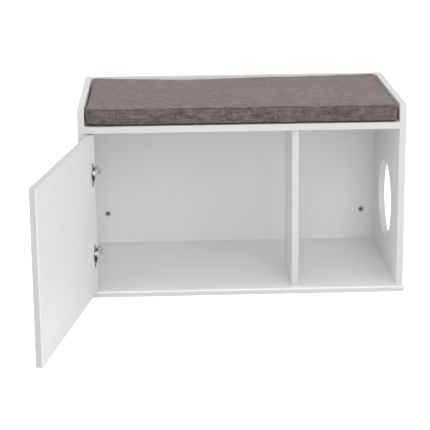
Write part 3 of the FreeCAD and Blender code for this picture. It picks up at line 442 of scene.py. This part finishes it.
def plated(name, base, rough, wear):
    """Plated metal: drawn lines, cloudy gloss and brighter rubbed edges."""
    material, tree, shader, place = new_material(name)
    lines = use_group(tree, brushed_group(), Vector=place, Rough=rough)
    edges = use_group(tree, edge_group(), Radius=0.0004)
    mottle = use_group(tree, mottle_group(), Vector=place, Colour=(*base, 1), Amount=0.28, Scale=160.0)
    bright = tuple(min(1.0, 1.35 * part) for part in base)
    rub = times(tree, edges.outputs["Edge"], wear)
    rubbed = between(tree, rub, mottle.outputs["Colour"], (*bright, 1))
    feed(tree, shader.inputs["Base Color"], rubbed)
    shader.inputs["Metallic"].default_value = 1.0
    feed(tree, shader.inputs["Roughness"], lines.outputs["Rough"])
    relief = bump(tree, lines.outputs["Height"], FINE_RELIEF, 0.5, edges.outputs["Normal"])
    feed(tree, shader.inputs["Normal"], relief)
    return material


def cast_cam(look, name, node, axis):
    """Cast cam lock: grey face, with painted shadow as a dark rim at its edges and painted shade inside the
    driver cross.
    """
    material, tree, shader, place = new_material(name)
    split = add(tree, "ShaderNodeSeparateXYZ")
    feed(tree, split.inputs[0], place)
    face = getattr(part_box(node)[0], axis.lower())
    depth = maths(tree, "SUBTRACT", split.outputs[axis], face)
    # painted shade: the driver cross, sunk below the cam's face, turns near-black
    sunk = spread(tree, depth, 0.0002, 0.0012)
    mottle = use_group(tree, mottle_group(), Vector=place, Colour=(*look.cam, 1), Amount=0.25, Scale=300.0)
    edges = use_group(tree, edge_group(), Radius=0.0011)
    # painted shadow: the cam's edges darken to a rim
    rim = between(tree, times(tree, edges.outputs["Edge"], 0.8), mottle.outputs["Colour"], CAM_RIM_SHADOW)
    feed(tree, shader.inputs["Base Color"], between(tree, sunk, rim, CAM_RECESS_SHADE))
    shader.inputs["Metallic"].default_value = 0.5
    feed(tree, shader.inputs["Roughness"], spread(tree, mottle.outputs["Gloss"], 0.3, 0.7, 0.38, 0.55))
    relief = bump(tree, mottle.outputs["Height"], 0.00004, 0.6, edges.outputs["Normal"])
    feed(tree, shader.inputs["Normal"], relief)
    return material


def seam_line(tree, name, half, fade):
    """1 on a sewn line, read from the piece's own measure of the way to that line."""
    way = maths(tree, "ABSOLUTE", measured(tree, name))
    return spread(tree, way, half, half + fade, 1.0, 0.0)


def taupe_linen(pattern):
    """Coarse mixed-yarn cloth, on the cushion's own flat UV so that the yarns follow each panel."""
    material, tree, shader, place = new_material("taupe_linen")
    layout = add(tree, "ShaderNodeUVMap", uv_map="panels").outputs["UV"]
    weave = use_group(tree, weave_group(), Vector=layout, Threads=1.0 / pattern.thread)
    weft = clouds(tree, stretched(tree, layout, (22, 330, 1)), 1.0, 3.0, 0.6)
    warp = clouds(tree, stretched(tree, layout, (360, 40, 1)), 1.0, 3.0, 0.6)
    broad = clouds(tree, stretched(tree, layout, (7, 16, 1)), 1.0, 3.0)
    heather = plus(tree, times(tree, spread(tree, weft, 0.36, 0.64), 0.62),
                   times(tree, spread(tree, warp, 0.36, 0.64), 0.38))
    shade = plus(tree, times(tree, weave.outputs["Yarn"], 0.3), times(tree, heather, 0.7))
    yarns = between(tree, shade, (*pattern.dark, 1), (*pattern.light, 1))
    # painted shade in the weave's hollows: the low points between yarns are darker
    pit = spread(tree, weave.outputs["Height"], 0.05, 0.6, 0.6, 1.0)
    slub = clouds(tree, stretched(tree, layout, (42, 75, 1)), 1.0, 6.0, 0.78)
    tint = times(tree, pit, spread(tree, broad, 0.3, 0.7, 0.93, 1.07))
    tint = times(tree, tint, spread(tree, slub, 0.36, 0.64, 0.62, 1.36))
    # painted shade in the front's loose folds and the corner tuck
    tint = times(tree, tint, spread(tree, measured(tree, "fold"), 0.0, 1.0, 1.0, 0.62))
    stitched = maths(tree, "MAXIMUM", seam_line(tree, "top_seam", 0.0007, 0.0012),
                     times(tree, seam_line(tree, "corner_seam", 0.0004, 0.0012), 0.6))
    tint = times(tree, tint, spread(tree, stitched, 0.0, 1.0, 1.0, 0.3))
    shaded = scaled(tree, yarns, tint)
    # painted shadow: the underside and a thin band over the lower seam are near-black, standing in for the
    # shadow under the cushion's edge
    shadow_reach = plus(tree, measured(tree, "low_seam"), times(tree, clouds(tree, place, 9.0, 2.0), 0.0022))
    below = spread(tree, shadow_reach, -0.0016, -0.0008)
    feed(tree, shader.inputs["Base Color"], between(tree, below, shaded, (*pattern.underside, 1)))
    shader.inputs["Roughness"].default_value = 0.92
    shader.inputs["Specular IOR Level"].default_value = 0.25
    shader.inputs["Sheen Weight"].default_value = 0.3
    shader.inputs["Sheen Roughness"].default_value = 0.45
    shader.inputs["Sheen Tint"].default_value = (1.0, 0.9, 0.85, 1)
    relief = plus(tree, weave.outputs["Height"], times(tree, heather, 0.6))
    feed(tree, shader.inputs["Normal"], bump(tree, relief, 0.0006, 0.9))
    return material


def studio_paper(setup):
    """Pale floor that stays white to the camera, with no more light thrown on the cabinet."""
    material, tree, shader, place = new_material("studio_paper")
    seen = add(tree, "ShaderNodeLightPath").outputs["Is Camera Ray"]
    feed(tree, shader.inputs["Emission Color"], seen)
    shader.inputs["Emission Strength"].default_value = setup.floor_lift
    mottle = use_group(tree, mottle_group(), Vector=place, Colour=(*setup.floor, 1), Amount=0.01, Scale=3.0)
    feed(tree, shader.inputs["Base Color"], mottle.outputs["Colour"])
    shader.inputs["Roughness"].default_value = 0.9
    return material


def paint(names, material):
    """Gives CAD nodes one finish."""
    for name in names:
        mesh = NODES[name].data
        mesh.materials.clear()
        mesh.materials.append(material)


# ------------------------------------------------------------------ the cushion
END_PULL = 0.0022          # how far the short seams are drawn in at their middle
RIGHT_END_SHARE = 0.4      # share of that pull at the right-hand end
FRONT_BOW = 0.0008         # how far the front seam is drawn in at its middle
RIGHT_CORNER_PULL = 0.0018
LEFT_CORNER_LIFT = 0.0042
REAR_SAG = 0.004           # how far the rear seam sags, left of the middle
FILL_FRAMES = 20
FILLING = {
    "quality": 5, "mass": 0.3, "tension_stiffness": 12, "compression_stiffness": 12, "bending_stiffness": 0.6,
    "use_pressure": True, "uniform_pressure_force": 4.0, "vertex_group_mass": "sewn", "pin_stiffness": 0.6,
}
RIPPLES = ((14, 0.0011), (34, 0.0006))   # how close together the filling's lumps are, and how high
# loose folds of the front side: place from the cabinet's middle, lean and depth
FRONT_FOLDS = ((-0.135, 1.1, 0.8), (-0.29, -0.8, 0.5), (0.035, 1.3, 1.0), (0.062, 1.3, 0.8),
               (0.215, 1.25, 0.8), (0.245, 1.15, 0.7), (0.31, 1.0, 0.4))
FOLD_WIDTH = 0.0055
TUCK_DEPTH = 0.002
CORNER_SEAM = 0.0095       # way from the cushion's left end to its front corner seam
# clear space to the neighbours, and how far the cushion may stand before the side panels
CLEAR_SIDE = 0.0006
CLEAR_BACK = 0.0008
CLEAR_SEAT = 0.0003
FRONT_PROUD = 0.004


def cushion_span(pattern):
    """Lowest and highest corner of the sewn cushion, before its crown."""
    low = Vector((WELL_LEFT + pattern.side_gap, WELL_FRONT + pattern.front_gap, SEAT_TOP + 0.0004))
    high = Vector((WELL_RIGHT - pattern.side_gap, WELL_BACK - pattern.back_gap, low.z + pattern.wall))
    return low, high


def draw_in(point, low, high, pattern):
    """Where the seams pull a point of the plain box: drawn-in sides and lifted corners."""
    middle, half = (low + high) / 2, (high - low) / 2
    across = (point.x - middle.x) / half.x
    depth = (point.y - middle.y) / half.y
    rise = (point.z - low.z) / (high.z - low.z)
    bow_long = 1 - across ** 2
    bow_short = 1 - depth ** 2
    rear = max(0.0, depth) ** 3
    front = max(0.0, -depth) ** 3
    moved = point.copy()
    moved.y -= (pattern.pull_in * rear - FRONT_BOW * front) * bow_long
    moved.x -= END_PULL * bow_short * across ** 3 * (1.0 if across < 0 else RIGHT_END_SHARE)
    moved.x -= RIGHT_CORNER_PULL * front * max(0.0, across) ** 12
    # the rear seam sags left of the middle and stands high towards the right
    sag = math.exp(-((across + 0.32) / 0.3) ** 2)
    lift = pattern.corner_lift * (abs(across) ** 4 + 0.5 * max(0.0, across))
    moved.z += rise * rear * (lift - REAR_SAG * sag)
    left_front = front * max(0.0, -across) ** 8
    lip = max(0.0, -depth) ** 40
    moved.z += (1 - 0.6 * rise) * (LEFT_CORNER_LIFT * left_front + pattern.front_lift * lip)
    return moved


def cushion_blank(low, high, pattern):
    """Boxed cushion before filling: a plain box with rounded upright corners."""
    work = bmesh.new()
    bmesh.ops.create_cube(work, size=1.0)
    bmesh.ops.scale(work, vec=high - low, verts=work.verts)
    bmesh.ops.translate(work, vec=(low + high) / 2, verts=work.verts)
    upright = [edge for edge in work.edges if abs(edge.verts[0].co.z - edge.verts[1].co.z) > 0.01]
    bmesh.ops.bevel(
        work, geom=upright, offset=pattern.corner, affect="EDGES", segments=4, profile=0.5, material=-1)
    mesh = bpy.data.meshes.new("seat_cushion")
    work.to_mesh(mesh)
    work.free()
    return mesh


def apply_modifiers(obj):
    """Bakes an object's modifiers into its own mesh."""
    graph = bpy.context.evaluated_depsgraph_get()
    graph.update()
    mesh = bpy.data.meshes.new_from_object(obj.evaluated_get(graph))
    old = obj.data
    obj.modifiers.clear()
    obj.data = mesh
    bpy.data.meshes.remove(old)


def inward(point, low, high, pattern):
    """How far a point lies inside the upright sides of the plain box, round corners included."""
    span_x, span_y = (high.x - low.x) / 2, (high.y - low.y) / 2
    across = abs(point.x - (low.x + high.x) / 2) - (span_x - pattern.corner)
    depth = abs(point.y - (low.y + high.y) / 2) - (span_y - pattern.corner)
    if across > 0 and depth > 0:
        return pattern.corner - math.hypot(across, depth)
    return pattern.corner - max(across, depth)


def near_rim(point, low, high, reach, pattern):
    """1 on the two sewn loops, at the top and bottom of the boxed side, fading to 0 at a reach."""
    level = min(abs(point.z - low.z), abs(point.z - high.z))
    return max(0.0, 1 - math.hypot(max(0.0, inward(point, low, high, pattern)), level) / reach)


def fill_cushion(obj, low, high, pattern):
    """Fills the sewn box like a cushion: seams held, panels blown out, movement capped."""
    start = [vertex.co.copy() for vertex in obj.data.vertices]
    held = obj.vertex_groups.new(name="sewn")
    for vertex, place in zip(obj.data.vertices, start):
        weight = near_rim(place, low, high, 1.6 * pattern.cell, pattern)
        if weight > 0:
            held.add([vertex.index], min(1.0, 2 * weight), "REPLACE")
    cloth = obj.modifiers.new("filling", "CLOTH")
    for name, value in FILLING.items():
        setattr(cloth.settings, name, value)
    cloth.settings.effector_weights.gravity = 0
    cloth.point_cache.frame_start = 1
    cloth.point_cache.frame_end = FILL_FRAMES
    scene = bpy.context.scene
    for number in range(1, FILL_FRAMES + 1):
        scene.frame_set(number)
    apply_modifiers(obj)
    scene.frame_set(1)
    for vertex, place in zip(obj.data.vertices, start):
        move = vertex.co - place
        if move.length > pattern.swell:
            move = move.normalized() * pattern.swell
        vertex.co = place + move


def crease(point, low):
    """Unevenness of the filling, and how deep the loose folds of the front side are, from 0 to 1."""
    ripple = sum(depth * noise.noise(point * scale) for scale, depth in RIPPLES)
    facing = max(0.0, 1 - max(0.0, point.y - low.y) / 0.02)
    fold = 0.0
    for centre, lean, depth in FRONT_FOLDS:
        away = (point.x - centre) + lean * (point.z - low.z - 0.02)
        fold += depth * math.exp(-(away / FOLD_WIDTH) ** 2)
    return ripple, min(1.0, fold) * facing


def dart(point, low, high):
    """The small tuck at the left front corner, just under the seam, from 0 to 1."""
    away = math.hypot((point.x - low.x - 0.0085) / 0.0035, (point.z - high.z + 0.0075) / 0.0065)
    return math.exp(-away ** 2) if point.y < low.y + 0.015 else 0.0


def settle_cushion(obj, low, high, pattern):
    """Draws the sides in, furrows the seams, adds folds and keeps the cushion off its neighbours."""
    work = bmesh.new()
    work.from_mesh(obj.data)
    work.normal_update()
    names = ("top_seam", "low_seam", "corner_seam", "fold")
    marks = {name: work.verts.layers.float.new(name) for name in names}
    for vertex in work.verts:
        place = vertex.co.copy()
        inside = max(0.0, inward(place, low, high, pattern))
        upper = place.z > (low.z + high.z) / 2
        vertex[marks["top_seam"]] = (inside if upper else 0.0) - max(0.0, high.z - place.z)
        vertex[marks["low_seam"]] = (0.0 if upper else inside) - max(0.0, place.z - low.z)
        at_front = place.y < low.y + 0.02
        vertex[marks["corner_seam"]] = place.x - low.x - CORNER_SEAM if at_front else 1.0
        mark = max(0.0, 2 * near_rim(place, low, high, 2 * pattern.seam_width, pattern) - 1)
        ripple, fold = crease(place, low)
        tuck = dart(place, low, high)
        # this mark only darkens the cloth: painted shade in the folds and the corner tuck
        vertex[marks["fold"]] = min(1.0, 0.55 * fold + 1.3 * tuck)
        sunk = pattern.fold * fold + TUCK_DEPTH * tuck + pattern.seam_depth * mark ** 2
        vertex.co = place + vertex.normal * (ripple - sunk)
    for vertex in work.verts:
        vertex.co = draw_in(vertex.co, low, high, pattern)
        vertex.co.x = min(max(vertex.co.x, WELL_LEFT + CLEAR_SIDE), WELL_RIGHT - CLEAR_SIDE)
        vertex.co.y = min(max(vertex.co.y, WELL_FRONT - FRONT_PROUD), WELL_BACK - CLEAR_BACK)
        vertex.co.z = max(vertex.co.z, SEAT_TOP + CLEAR_SEAT)
    lay_out_panels(work)
    for face in work.faces:
        face.smooth = True
    work.to_mesh(obj.data)
    work.free()


def lay_out_panels(work):
    """A flat UV for each sewn panel, in metres, so that the weave runs true on every side."""
    layer = work.loops.layers.uv.new("panels")
    for face in work.faces:
        size = [abs(part) for part in face.normal]
        for loop in face.loops:
            place = loop.vert.co
            if size[2] >= max(size[0], size[1]):
                loop[layer].uv = (place.x, place.y)
            elif size[1] >= size[0]:
                loop[layer].uv = (place.x, place.z)
            else:
                loop[layer].uv = (place.y, place.z)


def make_cushion(pattern):
    """The seat cushion: sewn, filled, made finer and settled in its recess."""
    low, high = cushion_span(pattern)
    obj = bpy.data.objects.new("seat_cushion", cushion_blank(low, high, pattern))
    bpy.context.scene.collection.objects.link(obj)
    cells = obj.modifiers.new("cells", "REMESH")
    cells.mode = "VOXEL"
    cells.voxel_size = pattern.cell
    apply_modifiers(obj)
    fill_cushion(obj, low, high, pattern)
    finer = obj.modifiers.new("finer", "SUBSURF")
    finer.levels = finer.render_levels = 1
    apply_modifiers(obj)
    settle_cushion(obj, low, high, pattern)
    return obj


# ------------------------------------------------------------------ operators
class FinishBoards(bpy.types.Operator):
    """Gives every board its white melamine"""
    bl_idname = "litter_cabinet.finish_boards"
    bl_label = "Finish boards"

    def execute(self, context):
        look = context.scene.cabinet_finish
        for title, names in (("sideways_melamine", SIDEWAYS_BOARDS), ("level_melamine", LEVEL_BOARDS),
                             ("back_melamine", ["back_panel"])):
            paint(names, white_melamine(title, board_facing(names[0]), look.board, look.banding_and_shade))
        facing = board_facing("door_panel")
        paint(["door_panel"], white_melamine("door_melamine", facing, look.door, look.door_band_shade))
        return {"FINISHED"}


class FinishPegs(bpy.types.Operator):
    """Gives the dowels their beech"""
    bl_idname = "litter_cabinet.finish_pegs"
    bl_label = "Finish dowels"

    def execute(self, context):
        paint(PEG_NODES, beech_peg(context.scene.cabinet_finish))
        return {"FINISHED"}


class FinishHinges(bpy.types.Operator):
    """Plates the concealed hinges"""
    bl_idname = "litter_cabinet.finish_hinges"
    bl_label = "Finish hinges"

    def execute(self, context):
        look = context.scene.cabinet_finish
        paint(ARM_NODES, plated("nickel_plate", look.nickel, 0.24, 0.3))
        paint(CUP_NODES, plated("cup_plate", look.cup, 0.36, 0.5))
        paint(PIN_NODES, plated("polished_pin", look.nickel, 0.2, 0.3))
        return {"FINISHED"}


class FinishFixings(bpy.types.Operator):
    """Plates the screws and bolts and casts the cam locks"""
    bl_idname = "litter_cabinet.finish_fixings"
    bl_label = "Finish fixings"

    def execute(self, context):
        look = context.scene.cabinet_finish
        paint(SCREW_NODES, plated("zinc_plate", look.zinc, 0.34, 0.5))
        paint(["back_cam_locks"], cast_cam(look, "back_cam", "back_cam_locks", "Y"))
        paint(["seat_cam_locks"], cast_cam(look, "seat_cam", "seat_cam_locks", "Z"))
        return {"FINISHED"}


class SewCushion(bpy.types.Operator):
    """Sews and fills the seat cushion"""
    bl_idname = "litter_cabinet.sew_cushion"
    bl_label = "Sew cushion"

    def execute(self, context):
        pattern = context.scene.cushion_pattern
        cushion = make_cushion(pattern)
        cushion.data.materials.clear()
        cushion.data.materials.append(taupe_linen(pattern))
        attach(cushion, "cushion")
        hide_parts("cushion_cover", "cushion_foam")
        return {"FINISHED"}


class BuildStage(bpy.types.Operator):
    """Lays the floor and sets the lights and the camera"""
    bl_idname = "litter_cabinet.build_stage"
    bl_label = "Build stage"

    def execute(self, context):
        setup = context.scene.studio_setup
        lay_floor(setup)
        set_lights(setup)
        set_camera(setup)
        return {"FINISHED"}


FLOOR_REACH = 14.0   # from the floor's middle to its edges
LAMP_AIM = (0, -0.1, 0.2)
# each lamp's place and the length of its sides
LAMPS = {
    "key": ((1.9, -2.6, 1.7), 1.6),
    "front": ((0.2, -3.4, 1.3), 1.6),
    "high": ((0.2, -2.6, 2.4), 1.6),
    "top": ((0.0, 0.1, 2.3), 1.4),
    "left": ((-1.2, -1.0, 1.9), 1.4),
}


def lay_floor(setup):
    """The studio floor, which is part of the stage and not of the cabinet."""
    work = bmesh.new()
    bmesh.ops.create_grid(work, x_segments=1, y_segments=1, size=FLOOR_REACH)
    mesh = bpy.data.meshes.new("studio_floor")
    work.to_mesh(mesh)
    work.free()
    floor = bpy.data.objects.new("studio_floor", mesh)
    mesh.materials.append(studio_paper(setup))
    bpy.context.scene.collection.objects.link(floor)


def soft_box(name, place, size, watts):
    """A square studio light that faces the cabinet."""
    data = bpy.data.lights.new(name, "AREA")
    data.shape = "SQUARE"
    data.size = size
    data.energy = watts
    lamp = bpy.data.objects.new(name, data)
    lamp.location = place
    lamp.rotation_euler = (Vector(LAMP_AIM) - Vector(place)).to_track_quat("-Z", "Y").to_euler()
    bpy.context.scene.collection.objects.link(lamp)


def set_lights(setup):
    """The lamps and the room's even light, under a plain view transform."""
    bpy.context.scene.view_settings.view_transform = "Standard"
    world = bpy.data.worlds.new("studio_room")
    bpy.context.scene.world = world
    world.use_nodes = True
    background = world.node_tree.nodes["Background"]
    background.inputs["Color"].default_value = (1, 1, 1, 1)
    background.inputs["Strength"].default_value = setup.room
    for name, (place, size) in LAMPS.items():
        soft_box(name + "_light", place, size, getattr(setup, name))


def set_camera(setup):
    """Camera at the photograph's place, with its yaw, pitch, roll and lens."""
    ahead = Vector((
        math.sin(setup.yaw) * math.cos(setup.pitch),
        math.cos(setup.yaw) * math.cos(setup.pitch),
        math.sin(setup.pitch)))
    level = Vector((math.cos(setup.yaw), -math.sin(setup.yaw), 0))
    lean = Matrix.Rotation(-setup.roll, 3, ahead)
    right = lean @ level
    up = lean @ level.cross(ahead)
    data = bpy.data.cameras.new("photo_camera")
    data.sensor_width = 36.0
    data.lens = setup.reach * data.sensor_width
    data.shift_y = setup.drop
    data.clip_end = 60.0
    camera = bpy.data.objects.new("photo_camera", data)
    camera.matrix_world = Matrix((
        (right.x, up.x, -ahead.x, setup.eye[0]),
        (right.y, up.y, -ahead.y, setup.eye[1]),
        (right.z, up.z, -ahead.z, setup.eye[2]),
        (0, 0, 0, 1)))
    bpy.context.scene.collection.objects.link(camera)
    bpy.context.scene.camera = camera


# ------------------------------------------------------------------ panel and registration
STEPS = (FinishBoards, FinishPegs, FinishHinges, FinishFixings, SewCushion, BuildStage)


class LitterCabinetPanel(bpy.types.Panel):
    """Lists the steps that dress the cabinet"""
    bl_idname = "VIEW3D_PT_litter_cabinet"
    bl_label = "Litter Cabinet"
    bl_space_type = "VIEW_3D"
    bl_region_type = "UI"
    bl_category = "Litter Cabinet"

    def draw(self, context):
        column = self.layout.column()
        for name in ("cabinet_finish", "cushion_pattern", "studio_setup"):
            group = getattr(context.scene, name)
            for key in group.__annotations__:
                column.prop(group, key)
        for step in STEPS:
            column.operator(step.bl_idname)


GROUPS = (
    ("cabinet_finish", CabinetFinish),
    ("cushion_pattern", CushionPattern),
    ("studio_setup", StudioSetup),
)


def register():
    for name, group in GROUPS:
        bpy.utils.register_class(group)
        setattr(bpy.types.Scene, name, bpy.props.PointerProperty(type=group))
    for step in STEPS:
        bpy.utils.register_class(step)
    bpy.utils.register_class(LitterCabinetPanel)


def unregister():
    bpy.utils.unregister_class(LitterCabinetPanel)
    for step in reversed(STEPS):
        bpy.utils.unregister_class(step)
    for name, group in reversed(GROUPS):
        delattr(bpy.types.Scene, name)
        bpy.utils.unregister_class(group)


def main():
    register()
    for step in STEPS:
        family, name = step.bl_idname.split(".")
        getattr(getattr(bpy.ops, family), name)()


if __name__ == "__main__":
    main()
